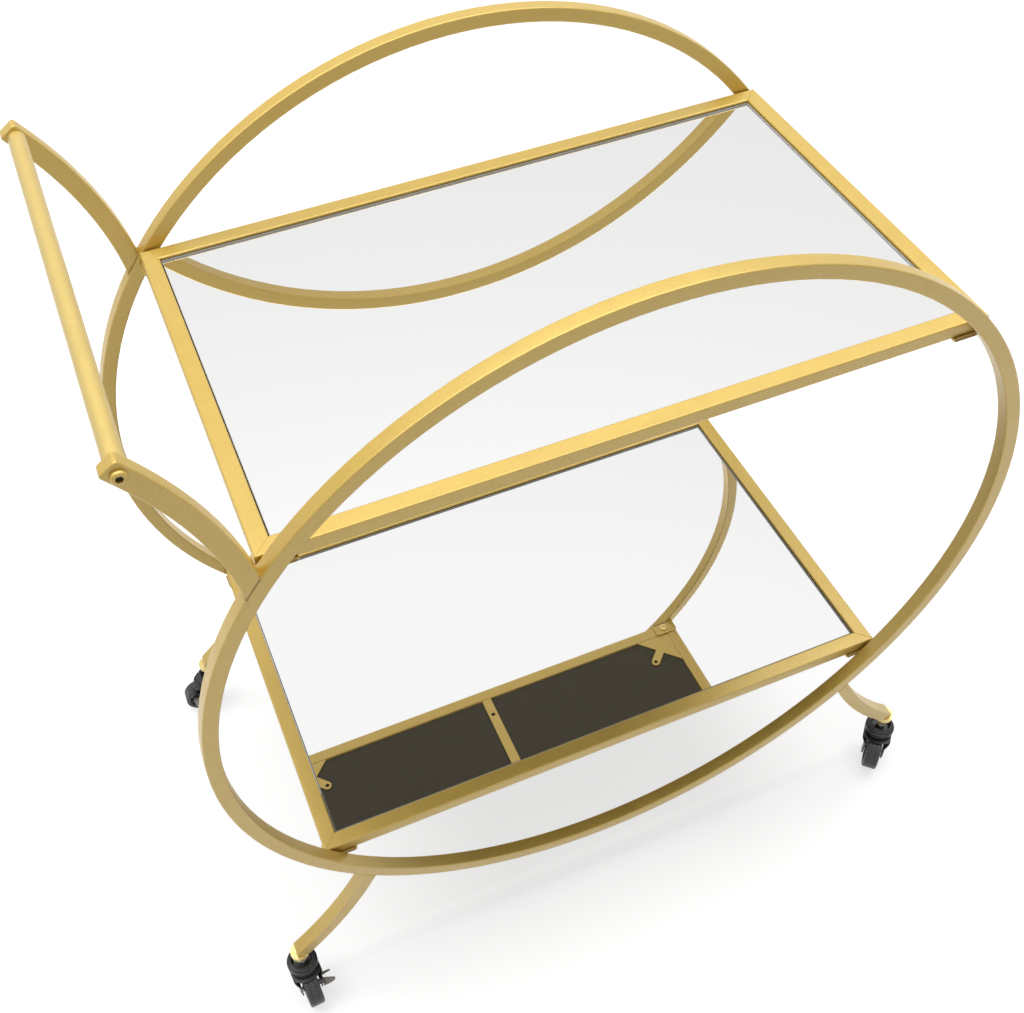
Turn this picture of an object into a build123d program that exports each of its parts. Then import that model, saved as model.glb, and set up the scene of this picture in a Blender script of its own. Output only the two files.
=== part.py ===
from build123d import *
import os
from math import cos, radians, sin, sqrt

# Bar cart: two rings of square tube carry two framed mirror shelves, four splayed legs on casters, and
# a push handle on two bent arms. Millimetres, +Z up, the front ring at -Y and the handle at -X. The
# origin is on the floor, midway between the rings and under their centres.

# Rings
RING_RADIUS = 360.0  # to the outside of the tube
RING_HEIGHT = 442.0  # centre of the rings above the floor
FRAME_DEPTH = 370.0  # over the outer faces of the two rings
TUBE = 12.7  # side of the square tube of the rings and legs

# Handle
HANDLE_INSET = 9.6  # axis of the handle inside the left end of the rings
HANDLE_DROP = 13.0  # axis of the handle below the top of the rings
HANDLE_RADIUS = 6.75
ARM_WIDTH = 15.3  # of the rectangular arm tube, seen from the front
ARM_DEPTH = 10.0
ARM_SLOPE = -54.0  # direction of the arm at the handle, in degrees from +X
ARM_BEND = 320.0  # radius of the arm's centre line
ARM_OVERHANG = 9.0  # straight end beyond the handle bolt
ARM_END_CHAMFER = 2.0
HANDLE_BOLT_RADIUS = 3.0
HANDLE_BOLT_HEAD = 5.25
HANDLE_BOLT_HEAD_HEIGHT = 3.3
HANDLE_BOLT_ENGAGED = 12.0  # length of the bolt inside the handle
HANDLE_BORE_SPARE = 1.0  # depth of the bore beyond the bolt

# Legs
FOOT_INSET = 25.5  # middle of each leg's lower end inside the end of the rings
FOOT_LEAN = 47.2  # slope of the leg at its lower end, in degrees from level
LEG_BEND = 355.0  # radius of the leg's centre line
FOOT_ROUND = 4.0  # radius of the toe, the lower outer corner
SOCKET_RADIUS = 8.75  # round flange of the stem socket welded under the leg
SOCKET_HEIGHT = 6.0
SOCKET_ACROSS_FLATS = 10.0  # hexagonal neck under the flange
SOCKET_NECK = 4.0

# Shelves
SHELF_LENGTH = 574.0
SHELF_GAP = 1.8  # between a shelf frame and the ring beside it
UPPER_SHELF_INSET = 2.16  # from the end of the shelf to where the ring's centre line
LOWER_SHELF_INSET = 9.0  # crosses the underside of the rails
RAIL_WIDTH = 14.0
RAIL_HEIGHT = 12.7
RAIL_WALL = 1.2
RAIL_EDGE = 0.8
MIRROR_THICKNESS = 4.0
MIRROR_GAP = 1.0  # around the edge of the mirror
BOARD_THICKNESS = 5.0
BOARD_GAP = 0.8
CARRIER_THICKNESS = 2.0  # gusset plates and cross brace under the board
CARRIER_RISE = 0.7  # of the gussets and the brace above the underside of the rails
GUSSET_LEG = 46.0  # along each rail
GUSSET_TONGUE_REACH = 24.0  # beyond the slanting edge of the gusset
GUSSET_TONGUE_WIDTH = 11.0
BRACE_WIDTH = 12.7
BRACE_HOLE_RADIUS = 2.5
BRACE_HOLE_INSET = 24.0  # from the rear end of the brace

# Tabs that carry the shelves on the rings
TAB_PAST_END = 1.0  # of the tab past the end of the shelf
TAB_LENGTH = 30.0
TAB_THICKNESS = 2.0
TAB_CORNER = 2.0
TAB_OVERHANG = 0.8  # of the tab beyond the inner side of the rail

# Casters
WHEEL_RADIUS = 20.0
WHEEL_WIDTH = 15.0
TRAIL = 14.7  # axle behind the swivel axis
AXLE_RADIUS = 2.5
FORK_PLATE = 1.4  # sheet thickness of the fork
FORK_INSIDE = 19.2  # between the cheeks
CHEEK_END = 6.0  # radius of the cheek round the axle
CHEEK_FRONT = 2.0  # front of the cheek at the crown, behind the swivel axis
CROWN_FRONT = 12.5  # crown plate ahead of the swivel axis
CROWN_REACH = 19.5  # crown plate behind the swivel axis
CROWN_CORNER = 7.0  # cut off the two front corners of the crown
WHEEL_TOP_CLEARANCE = 1.5
STEM_RADIUS = 3.0
STEM_SHOWN = 12.4  # bare stem between the collar and the socket
STEM_HEAD_ACROSS_FLATS = 8.0
STEM_HEAD_HEIGHT = 2.0
COLLAR_RADIUS = 15.0
COLLAR_HEIGHT = 9.2
RUNNING_FIT = 0.05  # radial, between a shaft and its hole
SWIVEL_GAP = 0.3  # between the parts that turn on each other
FIXED_FIT = 0.05  # radial, round a bolt

# Brake levers
LEVER_PLATE = 1.2
LEVER_GAP = 0.4  # outside the cheek
PIVOT_BEHIND = 17.0  # lever pivot behind the swivel axis
PIVOT_DROP = 12.0  # lever pivot below the crown
PIVOT_RADIUS = 1.8
LEVER_EYE = 4.0
LEVER_TOP = 3.5  # top of the pedals above the pivot
PEDAL_FRONT = -5.0  # front end of the front pedal, from the pivot
PEDAL_REAR = 9.0
PEDAL_FRONT_WIDTH = 4.0
PEDAL_SLOT = 1.5  # between the two pedals
PEDAL_FRONT_REACH = 22.0  # from the middle of the wheel
PEDAL_REAR_REACH = 24.0
PEDAL_REAR_TIP = 4.5

# Places that follow from the sizes above
RING_MID_Y = (FRAME_DEPTH - TUBE) / 2
RING_INNER_Y = FRAME_DEPTH / 2 - TUBE
RING_MID_RADIUS = RING_RADIUS - TUBE / 2
SHELF_DEPTH = 2 * (RING_INNER_Y - SHELF_GAP)
TAB_OUTER_X = SHELF_LENGTH / 2 + TAB_PAST_END
HANDLE_X = HANDLE_INSET - RING_RADIUS
HANDLE_Z = RING_HEIGHT + RING_RADIUS - HANDLE_DROP
FOOT_X = RING_RADIUS - FOOT_INSET
RING_AXIS = Axis((0, 0, RING_HEIGHT), (0, 1, 0))
RING_CENTRE = (0, RING_HEIGHT)
SIDES = {"front": -1, "rear": 1}
CORNERS = [(x, y) for y in (-1, 1) for x in (-1, 1)]

CROWN_BOTTOM = 2 * WHEEL_RADIUS + WHEEL_TOP_CLEARANCE
CROWN_TOP = CROWN_BOTTOM + FORK_PLATE
CHEEK_INSIDE = FORK_INSIDE / 2
CHEEK_OUTSIDE = CHEEK_INSIDE + FORK_PLATE
COLLAR_BOTTOM = CROWN_TOP + SWIVEL_GAP
PIVOT_HEIGHT = CROWN_BOTTOM - PIVOT_DROP
NECK_BOTTOM = COLLAR_BOTTOM + COLLAR_HEIGHT + STEM_SHOWN
NECK_TOP = NECK_BOTTOM + SOCKET_NECK
FOOT_Z = NECK_TOP + SOCKET_HEIGHT
FAR = 4 * RING_RADIUS  # past the end of anything, for trimming
CASTERS = {
    # which leg, direction of the trailing wheel in degrees from +X, and whether it has a brake lever
    "front_left": (-1, -1, -86.0, True),
    "front_right": (1, -1, -133.0, False),
    "rear_left": (-1, 1, 180.0, True),
    "rear_right": (1, 1, 90.0, False),
}

os.makedirs("parts", exist_ok=True)


def upright(y):
    """The plane that faces the front at this y, with x along the cart and y up."""
    return Plane.XZ.offset(-y)


# Rings: a closed hoop of square tube, sealed all round and so modelled solid
for name, side in SIDES.items():
    with BuildPart() as ring:
        with BuildSketch(Plane.XY.offset(RING_HEIGHT)):
            with Locations((RING_RADIUS - TUBE / 2, side * RING_MID_Y)):
                Rectangle(TUBE, TUBE)
        revolve(axis=RING_AXIS)
    ring.part.label = f"ring_{name}"
    export_step(ring.part, f"parts/ring_{name}.step")


# Legs: a bent tube from the underside of the ring out to the caster, cut level at its lower end
for name, side in SIDES.items():
    for hand, across in {"left": -1, "right": 1}.items():
        bend_x = across * (FOOT_X + LEG_BEND * cos(radians(FOOT_LEAN)))
        with BuildPart() as leg:
            with BuildSketch(upright(side * RING_MID_Y)) as leg_outline:
                with Locations((bend_x, FOOT_Z + LEG_BEND * sin(radians(FOOT_LEAN)))):
                    Circle(LEG_BEND + TUBE / 2)
                    Circle(LEG_BEND - TUBE / 2, mode=Mode.SUBTRACT)
                with Locations(RING_CENTRE):
                    Circle(RING_RADIUS, mode=Mode.SUBTRACT)
                with Locations((bend_x / 2, FOOT_Z)):
                    upward = (Align.CENTER, Align.MIN)
                    Rectangle(abs(bend_x), RING_HEIGHT - FOOT_Z, align=upward, mode=Mode.INTERSECT)
                toe = leg_outline.vertices().sort_by(Axis.X)[-1 if across > 0 else 0]
                fillet(toe, FOOT_ROUND)
            extrude(amount=TUBE / 2, both=True)
        leg.part.label = f"leg_{name}_{hand}"
        export_step(leg.part, f"parts/leg_{name}_{hand}.step")

# Handle arms: rectangular tube, straight at the handle and bent down onto the outside of the ring
ARM_BEND_CENTRE = (
    HANDLE_X + ARM_BEND * sin(radians(ARM_SLOPE)),
    HANDLE_Z - ARM_BEND * cos(radians(ARM_SLOPE)),
)
for name, side in SIDES.items():
    with BuildPart() as arm:
        with BuildSketch(upright(side * (FRAME_DEPTH - ARM_DEPTH) / 2)) as arm_outline:
            with Locations(ARM_BEND_CENTRE):
                Circle(ARM_BEND + ARM_WIDTH / 2)
                Circle(ARM_BEND - ARM_WIDTH / 2, mode=Mode.SUBTRACT)
            with Locations(Location((HANDLE_X, HANDLE_Z), ARM_SLOPE)):
                Rectangle(FAR, ARM_BEND, align=(Align.MIN, Align.CENTER), mode=Mode.INTERSECT)
                Rectangle(ARM_OVERHANG, ARM_WIDTH, align=(Align.MAX, Align.CENTER))
            with Locations(RING_CENTRE):
                Circle(RING_RADIUS, mode=Mode.SUBTRACT)
                Rectangle(FAR, FAR, align=(Align.CENTER, Align.MIN), mode=Mode.INTERSECT)
            chamfer(arm_outline.vertices().sort_by(Axis.Y)[-2:], ARM_END_CHAMFER)
            with Locations((HANDLE_X, HANDLE_Z)):
                Circle(HANDLE_BOLT_RADIUS + FIXED_FIT, mode=Mode.SUBTRACT)
        extrude(amount=ARM_DEPTH / 2, both=True)
    arm.part.label = f"handle_arm_{name}"
    export_step(arm.part, f"parts/handle_arm_{name}.step")

# Handle: a round bar between the arms, tapped at both ends, and a button-head bolt through each arm
GRIP_HALF = FRAME_DEPTH / 2 - ARM_DEPTH

with BuildPart() as handle_bar:
    with BuildSketch(Plane.XZ):
        with Locations((HANDLE_X, HANDLE_Z)):
            Circle(HANDLE_RADIUS)
    extrude(amount=GRIP_HALF, both=True)
    for side in SIDES.values():
        with BuildSketch(upright(side * GRIP_HALF)):
            with Locations((HANDLE_X, HANDLE_Z)):
                Circle(HANDLE_BOLT_RADIUS + FIXED_FIT)
        extrude(amount=side * (HANDLE_BOLT_ENGAGED + HANDLE_BORE_SPARE), mode=Mode.SUBTRACT)
handle_bar.part.label = "handle_bar"
export_step(handle_bar.part, "parts/handle_bar.step")

with BuildPart() as handle_bolts:
    for side in SIDES.values():
        arm_face = side * FRAME_DEPTH / 2
        with BuildSketch(upright(arm_face)):
            with Locations((HANDLE_X, HANDLE_Z)):
                Circle(HANDLE_BOLT_HEAD)
        extrude(amount=-side * HANDLE_BOLT_HEAD_HEIGHT)
        with BuildSketch(upright(arm_face)):
            with Locations((HANDLE_X, HANDLE_Z)):
                Circle(HANDLE_BOLT_RADIUS)
        extrude(amount=side * (ARM_DEPTH + HANDLE_BOLT_ENGAGED))
handle_bolts.part.label = "handle_bolts"
export_step(handle_bolts.part, "parts/handle_bolts.step")

# Shelves: each is as high or as low as its length fits between the rings. Four mitred tubes are the
# frame, a board lies in it on corner gussets and a cross brace, and a mirror lies on the board
SHELVES = {"upper": (1, UPPER_SHELF_INSET), "lower": (-1, LOWER_SHELF_INSET)}
RAILS = {"front": (0, -1), "right": (1, 0), "rear": (0, 1), "left": (-1, 0)}
INNER_LENGTH = SHELF_LENGTH - 2 * RAIL_WIDTH
INNER_DEPTH = SHELF_DEPTH - 2 * RAIL_WIDTH

for level, (upward, inset) in SHELVES.items():
    bottom = RING_HEIGHT + upward * sqrt(RING_MID_RADIUS**2 - (SHELF_LENGTH / 2 - inset) ** 2)
    for name, (x, y) in RAILS.items():
        outward = Vector(x, y, 0)
        along = Vector(y, -x, 0)
        length = SHELF_LENGTH if y else SHELF_DEPTH
        middle = Vector(x * SHELF_LENGTH / 2, y * SHELF_DEPTH / 2, bottom) - outward * RAIL_WIDTH / 2
        with BuildPart() as rail:
            with BuildSketch(Plane(middle, x_dir=outward, z_dir=along)):
                with Locations((0, RAIL_HEIGHT / 2)):
                    section = Rectangle(RAIL_WIDTH, RAIL_HEIGHT)
                    chamfer(section.vertices(), RAIL_EDGE)
                    offset(section, amount=-RAIL_WALL, mode=Mode.SUBTRACT)
            extrude(amount=length / 2, both=True)
            for end in (along, -along):
                corner = middle + outward * RAIL_WIDTH / 2 + end * length / 2
                split(bisect_by=Plane(corner, z_dir=end - outward), keep=Keep.BOTTOM)
        rail.part.label = f"{level}_rail_{name}"
        export_step(rail.part, f"parts/{level}_rail_{name}.step")

    carrier_bottom = bottom + CARRIER_RISE
    board_bottom = carrier_bottom + CARRIER_THICKNESS
    with BuildPart() as gussets:
        with BuildSketch(Plane.XY.offset(carrier_bottom)) as gusset:
            corner_x = INNER_LENGTH / 2
            corner_y = INNER_DEPTH / 2
            with BuildLine():
                Polyline(
                    (corner_x, corner_y),
                    (corner_x - GUSSET_LEG, corner_y),
                    (corner_x, corner_y - GUSSET_LEG),
                    close=True,
                )
            make_face()
            edge_middle = (corner_x - GUSSET_LEG / 2, corner_y - GUSSET_LEG / 2)
            tongue_length = GUSSET_TONGUE_REACH - GUSSET_TONGUE_WIDTH / 2
            with Locations(Location(edge_middle, 45)):
                Rectangle(2 * tongue_length, GUSSET_TONGUE_WIDTH)
                with Locations((-tongue_length, 0)):
                    Circle(GUSSET_TONGUE_WIDTH / 2)
            mirror(about=Plane.YZ)
            mirror(about=Plane.XZ)
        extrude(amount=CARRIER_THICKNESS)
    gussets.part.label = f"{level}_gussets"
    export_step(gussets.part, f"parts/{level}_gussets.step")

    with BuildPart() as brace:
        with BuildSketch(Plane.XY.offset(carrier_bottom)):
            Rectangle(BRACE_WIDTH, INNER_DEPTH)
            with Locations((0, INNER_DEPTH / 2 - BRACE_HOLE_INSET)):
                Circle(BRACE_HOLE_RADIUS, mode=Mode.SUBTRACT)
        extrude(amount=CARRIER_THICKNESS)
    brace.part.label = f"{level}_brace"
    export_step(brace.part, f"parts/{level}_brace.step")

    with BuildPart() as board:
        with BuildSketch(Plane.XY.offset(board_bottom)):
            Rectangle(INNER_LENGTH - 2 * BOARD_GAP, INNER_DEPTH - 2 * BOARD_GAP)
        extrude(amount=BOARD_THICKNESS)
    board.part.label = f"{level}_board"
    export_step(board.part, f"parts/{level}_board.step")

    with BuildPart() as mirror_pane:
        with BuildSketch(Plane.XY.offset(board_bottom + BOARD_THICKNESS)):
            Rectangle(INNER_LENGTH - 2 * MIRROR_GAP, INNER_DEPTH - 2 * MIRROR_GAP)
        extrude(amount=MIRROR_THICKNESS)
    mirror_pane.part.label = f"{level}_mirror"
    export_step(mirror_pane.part, f"parts/{level}_mirror.step")

    # Under each end of the long rails, a tab welded to the side of the ring
    tab_inner_y = SHELF_DEPTH / 2 - RAIL_WIDTH - TAB_OVERHANG
    with BuildPart() as tabs:
        with BuildSketch(Plane.XY.offset(bottom - TAB_THICKNESS)):
            with BuildLine():
                Polyline(
                    (TAB_OUTER_X, RING_INNER_Y),
                    (TAB_OUTER_X - TAB_LENGTH, RING_INNER_Y),
                    (TAB_OUTER_X - TAB_LENGTH, tab_inner_y + TAB_CORNER),
                    (TAB_OUTER_X - TAB_LENGTH + TAB_CORNER, tab_inner_y),
                    (TAB_OUTER_X - TAB_CORNER, tab_inner_y),
                    (TAB_OUTER_X, tab_inner_y + TAB_CORNER),
                    close=True,
                )
            make_face()
            mirror(about=Plane.YZ)
            mirror(about=Plane.XZ)
        extrude(amount=TAB_THICKNESS)
    tabs.part.label = f"{level}_tabs"
    export_step(tabs.part, f"parts/{level}_tabs.step")

# Caster mountings: under each leg a welded socket, the stem in it, and the collar fixed on the stem
FOOT_PLACES = [(x * FOOT_X, y * RING_MID_Y) for x, y in CORNERS]

with BuildPart() as leg_sockets:
    with BuildSketch(Plane.XY.offset(NECK_TOP)):
        with Locations(FOOT_PLACES):
            Circle(SOCKET_RADIUS)
    extrude(amount=SOCKET_HEIGHT)
    with BuildSketch(Plane.XY.offset(NECK_BOTTOM)):
        with Locations(FOOT_PLACES):
            RegularPolygon(SOCKET_ACROSS_FLATS / 2, 6, major_radius=False)
    extrude(amount=SOCKET_NECK)
leg_sockets.part.label = "leg_sockets"
export_step(leg_sockets.part, "parts/leg_sockets.step")

STEM_HEAD_TOP = CROWN_BOTTOM - SWIVEL_GAP
with BuildPart() as caster_stems:
    with BuildSketch(Plane.XY.offset(STEM_HEAD_TOP - STEM_HEAD_HEIGHT)):
        with Locations(FOOT_PLACES):
            RegularPolygon(STEM_HEAD_ACROSS_FLATS / 2, 6, major_radius=False)
    extrude(amount=STEM_HEAD_HEIGHT)
    with BuildSketch(Plane.XY.offset(STEM_HEAD_TOP)):
        with Locations(FOOT_PLACES):
            Circle(STEM_RADIUS)
    extrude(amount=NECK_BOTTOM - STEM_HEAD_TOP)
caster_stems.part.label = "caster_stems"
export_step(caster_stems.part, "parts/caster_stems.step")

with BuildPart() as caster_collars:
    with BuildSketch(Plane.XY.offset(COLLAR_BOTTOM)):
        with Locations(FOOT_PLACES):
            Circle(COLLAR_RADIUS)
            Circle(STEM_RADIUS + FIXED_FIT, mode=Mode.SUBTRACT)
    extrude(amount=COLLAR_HEIGHT)
caster_collars.part.label = "caster_collars"
export_step(caster_collars.part, "parts/caster_collars.step")

# Casters: a fork of folded sheet with its riveted axle, and the wheel, turned as in the photograph
for name, (x, y, heading, braked) in CASTERS.items():
    trailing = (cos(radians(heading)), sin(radians(heading)), 0)
    flat = Plane((x * FOOT_X, y * RING_MID_Y, 0), x_dir=trailing, z_dir=(0, 0, 1))
    side = Plane(flat.origin, x_dir=flat.x_dir, z_dir=-flat.y_dir)

    with BuildPart() as fork:
        with BuildSketch(side):
            with Locations((TRAIL, WHEEL_RADIUS)):
                RegularPolygon(CHEEK_END, 8, major_radius=False)
            with Locations((CHEEK_FRONT, CROWN_TOP)):
                Rectangle(CROWN_REACH - CHEEK_FRONT, FORK_PLATE, align=(Align.MIN, Align.MAX))
            make_hull()
        extrude(amount=CHEEK_OUTSIDE, both=True)
        with BuildSketch(side):
            Rectangle(FAR, CROWN_BOTTOM, align=(Align.CENTER, Align.MIN))
        extrude(amount=CHEEK_INSIDE, both=True, mode=Mode.SUBTRACT)
        with BuildSketch(flat.offset(CROWN_BOTTOM)):
            with Locations(((CROWN_REACH - CROWN_FRONT) / 2, 0)):
                crown = Rectangle(CROWN_REACH + CROWN_FRONT, 2 * CHEEK_OUTSIDE)
            chamfer(crown.vertices().sort_by(Axis.X)[:2], CROWN_CORNER)
        extrude(amount=FORK_PLATE)
        with BuildSketch(flat.offset(CROWN_BOTTOM)):
            Circle(STEM_RADIUS + RUNNING_FIT)
        extrude(amount=FORK_PLATE, mode=Mode.SUBTRACT)
        with BuildSketch(side):
            with Locations((TRAIL, WHEEL_RADIUS)):
                Circle(AXLE_RADIUS)
        extrude(amount=CHEEK_INSIDE, both=True)
        if braked:
            with BuildSketch(side):
                with Locations((PIVOT_BEHIND, PIVOT_HEIGHT)):
                    Circle(PIVOT_RADIUS + RUNNING_FIT)
            extrude(amount=-CHEEK_OUTSIDE, mode=Mode.SUBTRACT)
    fork.part.label = f"fork_{name}"
    export_step(fork.part, f"parts/fork_{name}.step")

    with BuildPart() as wheel:
        with BuildSketch(side):
            with Locations((TRAIL, WHEEL_RADIUS)):
                Circle(WHEEL_RADIUS)
                Circle(AXLE_RADIUS + RUNNING_FIT, mode=Mode.SUBTRACT)
        extrude(amount=WHEEL_WIDTH / 2, both=True)
    wheel.part.label = f"wheel_{name}"
    export_step(wheel.part, f"parts/wheel_{name}.step")

    if not braked:
        continue

    # Brake lever: a rocker outside the cheek on its own rivet, with two pedals folded outward
    lever_inside = CHEEK_OUTSIDE + LEVER_GAP
    fold_top = PIVOT_HEIGHT + LEVER_TOP
    with BuildPart() as lever:
        with BuildSketch(side.offset(-lever_inside)):
            with Locations((PIVOT_BEHIND, PIVOT_HEIGHT)):
                Circle(LEVER_EYE)
            with Locations((PIVOT_BEHIND + PEDAL_FRONT, fold_top)):
                Rectangle(PEDAL_REAR - PEDAL_FRONT, LEVER_PLATE, align=(Align.MIN, Align.MAX))
            make_hull()
        extrude(amount=-LEVER_PLATE)
        with BuildSketch(flat.offset(fold_top - LEVER_PLATE)):
            front = PIVOT_BEHIND + PEDAL_FRONT
            slot = front + PEDAL_FRONT_WIDTH
            rear = PIVOT_BEHIND + PEDAL_REAR
            tip = (slot + PEDAL_SLOT + rear) / 2
            with BuildLine():
                Polyline(
                    (front, lever_inside),
                    (front, PEDAL_FRONT_REACH),
                    (slot, PEDAL_FRONT_REACH),
                    (slot, lever_inside),
                    close=True,
                )
            make_face()
            with BuildLine():
                Polyline(
                    (slot + PEDAL_SLOT, lever_inside),
                    (tip - PEDAL_REAR_TIP / 2, PEDAL_REAR_REACH),
                    (tip + PEDAL_REAR_TIP / 2, PEDAL_REAR_REACH),
                    (rear, lever_inside),
                    close=True,
                )
            make_face()
        extrude(amount=LEVER_PLATE)
        with BuildSketch(side.offset(-CHEEK_INSIDE)):
            with Locations((PIVOT_BEHIND, PIVOT_HEIGHT)):
                Circle(PIVOT_RADIUS)
        extrude(amount=-(FORK_PLATE + LEVER_GAP))
    lever.part.label = f"brake_lever_{name}"
    export_step(lever.part, f"parts/brake_lever_{name}.step")
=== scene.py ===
import bmesh
import bpy
from math import acos, atan2, cos, hypot, pi, radians, sin, sqrt
from mathutils import Matrix, Vector, noise


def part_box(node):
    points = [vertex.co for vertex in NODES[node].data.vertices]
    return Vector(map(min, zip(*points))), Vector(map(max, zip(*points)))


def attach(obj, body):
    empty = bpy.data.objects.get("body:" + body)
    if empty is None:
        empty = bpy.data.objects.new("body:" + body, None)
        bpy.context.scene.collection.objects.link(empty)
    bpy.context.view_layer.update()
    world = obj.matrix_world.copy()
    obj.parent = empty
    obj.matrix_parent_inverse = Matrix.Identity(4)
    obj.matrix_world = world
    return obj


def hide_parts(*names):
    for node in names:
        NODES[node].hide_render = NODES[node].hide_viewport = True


# Bar cart: gold rings of square tube, two mirror shelves, a push handle and four casters, two of them braked.
# Shapes are worked out in millimetres and scaled to metres when a piece is made.

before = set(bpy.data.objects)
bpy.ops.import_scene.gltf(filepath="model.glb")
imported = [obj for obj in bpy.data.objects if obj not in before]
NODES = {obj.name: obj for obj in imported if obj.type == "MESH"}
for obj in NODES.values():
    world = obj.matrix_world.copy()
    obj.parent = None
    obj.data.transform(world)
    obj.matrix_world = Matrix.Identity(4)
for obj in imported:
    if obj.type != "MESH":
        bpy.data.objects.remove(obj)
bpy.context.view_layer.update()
MM = 0.001

# Sizes of the frame
RING_RADIUS = 360.0
RING_HEIGHT = 442.0
FRAME_DEPTH = 370.0
TUBE = 12.7
RING_MID_Y = (FRAME_DEPTH - TUBE) / 2
HANDLE_X, HANDLE_Z = -350.4, 789.0
ARM_WIDTH, ARM_DEPTH = 15.3, 10.0
ARM_BEND, ARM_SLOPE = 320.0, -54.0
ARM_OVERHANG, ARM_END_ROUND = 9.0, 3.0
BOLT_RADIUS, BOLT_SOCKET_FLATS = 3.0, 4.5
FOOT_X, FOOT_Z = 334.5, 74.8
FOOT_LEAN, LEG_BEND = 47.2, 355.0
GUSSET_LEG, TONGUE_REACH, TONGUE_HALF, TONGUE_HOLE = 46.0, 24.0, 5.5, 2.5
TAB_LENGTH, TAB_INNER_Y = 30.0, 155.7
SIDES = {"front": -1, "rear": 1}
HANDS = {"left": -1, "right": 1}

# Rounding of the edges
TUBE_EDGE = 1.3
RAIL_EDGE = 0.45
PLATE_EDGE = 0.35
SMOOTH_ANGLE = 34.0  # faces that meet at less than this are shaded as one surface

# Casters
CASTERS = {
    "front_left": (-1, -1, -86.0, True),
    "front_right": (1, -1, -133.0, False),
    "rear_left": (-1, 1, 180.0, True),
    "rear_right": (1, 1, 90.0, False),
}
WHEEL_RADIUS = 20.0
TRAIL = 14.7
CROWN_TOP = 42.9
CHEEK_INSIDE, CHEEK_OUTSIDE = 9.6, 11.0
CHEEK_END = 6.0
CHEEK_FRONT, CROWN_REACH, CROWN_ROUND = 2.0, 19.5, 15.0
SHOULDER, SHOULDER_FOOT = 14.8, 35.5  # half width of the crown, and where it has drawn in to the cheeks
FOLD_RADIUS = 2.2
COLLAR_RIM, COLLAR_FLOOR = 56.8, 50.0
STEM_RADIUS, STEM_HEAD_BOTTOM, NECK_BOTTOM = 3.0, 39.2, 64.8
STEM_HEAD_FLATS, STEM_WRENCH_FLATS, STEM_NUT_FLATS = 8.0, 9.0, 10.0
THREAD_PITCH, THREAD_DEPTH = 1.0, 0.42
PIVOT_U, PIVOT_Z = 17.0, 29.5
AXLE_RADIUS, AXLE_HEAD = 2.5, 3.9
PIVOT_RADIUS, PIVOT_HEAD, PIVOT_EYE = 1.8, 2.7, 4.1
LEVER_INSIDE, LEVER_PLATE, PEDAL_TOP = 11.4, 1.2, 33.0
BRAKE_TRAVEL = 20.0


# Placing and outlines

def caster_place(name):
    """Local x trails behind the swivel axis, local y points to the brake side, local z is up."""
    x, y, heading, _ = CASTERS[name]
    return Matrix.Translation((x * FOOT_X, y * RING_MID_Y, 0)) @ Matrix.Rotation(radians(heading), 4, "Z")


def sideways(place, u, z):
    """A frame at (u, z) of the caster whose z axis is the caster's y, and whose x and y are its u and z."""
    turned = Matrix(((1, 0, 0, u), (0, 0, 1, 0), (0, 1, 0, z), (0, 0, 0, 1)))
    return place @ turned


def arc(x, y, radius, start, end, steps):
    """Points on a circle from one angle to another, in degrees."""
    angles = [radians(start + (end - start) * i / steps) for i in range(steps + 1)]
    return [(x + radius * cos(a), y + radius * sin(a)) for a in angles]


def circle(x, y, radius):
    return arc(x, y, radius, 0, 345, 23)


def rounded(points, radius, steps=5):
    """The outline with each corner turned into a curve."""
    outline = []
    count = len(points)
    for i in range(count):
        before, corner, after = (Vector(points[j % count]) for j in (i - 1, i, i + 1))
        back, onward = before - corner, after - corner
        reach = min(radius, 0.48 * back.length, 0.48 * onward.length)
        start = corner + back.normalized() * reach
        end = corner + onward.normalized() * reach
        for k in range(steps + 1):
            t = k / steps
            outline.append(tuple(start * (1 - t) ** 2 + corner * 2 * t * (1 - t) + end * t ** 2))
    return outline


def inset(outline, distance):
    """The outline moved towards its left side, which is inward where it runs anticlockwise."""
    moved = []
    count = len(outline)
    for i in range(count):
        here = Vector(outline[i])
        came = (here - Vector(outline[i - 1])).normalized()
        goes = (Vector(outline[(i + 1) % count]) - here).normalized()
        first, second = Vector((-came.y, came.x)), Vector((-goes.y, goes.x))
        moved.append(tuple(here + (first + second) * distance / (1 + first.dot(second))))
    return moved


def oblong(x0, y0, x1, y1):
    return [(x0, y0), (x1, y0), (x1, y1), (x0, y1)]


def hull(points):
    """The convex outline round some points, anticlockwise."""
    ordered = sorted(set(points))

    def half(sequence):
        chain = []
        for p in sequence:
            while len(chain) > 1:
                (ax, ay), (bx, by) = chain[-2:]
                if (bx - ax) * (p[1] - ay) - (by - ay) * (p[0] - ax) > 1e-9:
                    break
                chain.pop()
            chain.append(p)
        return chain[:-1]

    return half(ordered) + half(ordered[::-1])


# Skins

def loft(build, rings, place=Matrix(), closed=False):
    """Joins rings of points into a skin, capped at both ends or closed onto itself."""
    loops = [[build.verts.new(place @ Vector(point)) for point in ring] for ring in rings]
    pairs = list(zip(loops, loops[1:]))
    if closed:
        pairs.append((loops[-1], loops[0]))
    else:
        build.faces.new(loops[0][::-1])
        build.faces.new(loops[-1])
    for low, high in pairs:
        for i in range(len(low)):
            j = (i + 1) % len(low)
            build.faces.new((low[i], low[j], high[j], high[i]))


def lathe(build, profile, place=Matrix(), closed=False, segments=48):
    """Turns a profile of (radius, height) points about the z axis."""
    turns = [2 * pi * i / segments for i in range(segments)]
    rings = [[(radius * cos(a), radius * sin(a), height) for a in turns] for radius, height in profile]
    loft(build, rings, place, closed)


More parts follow.
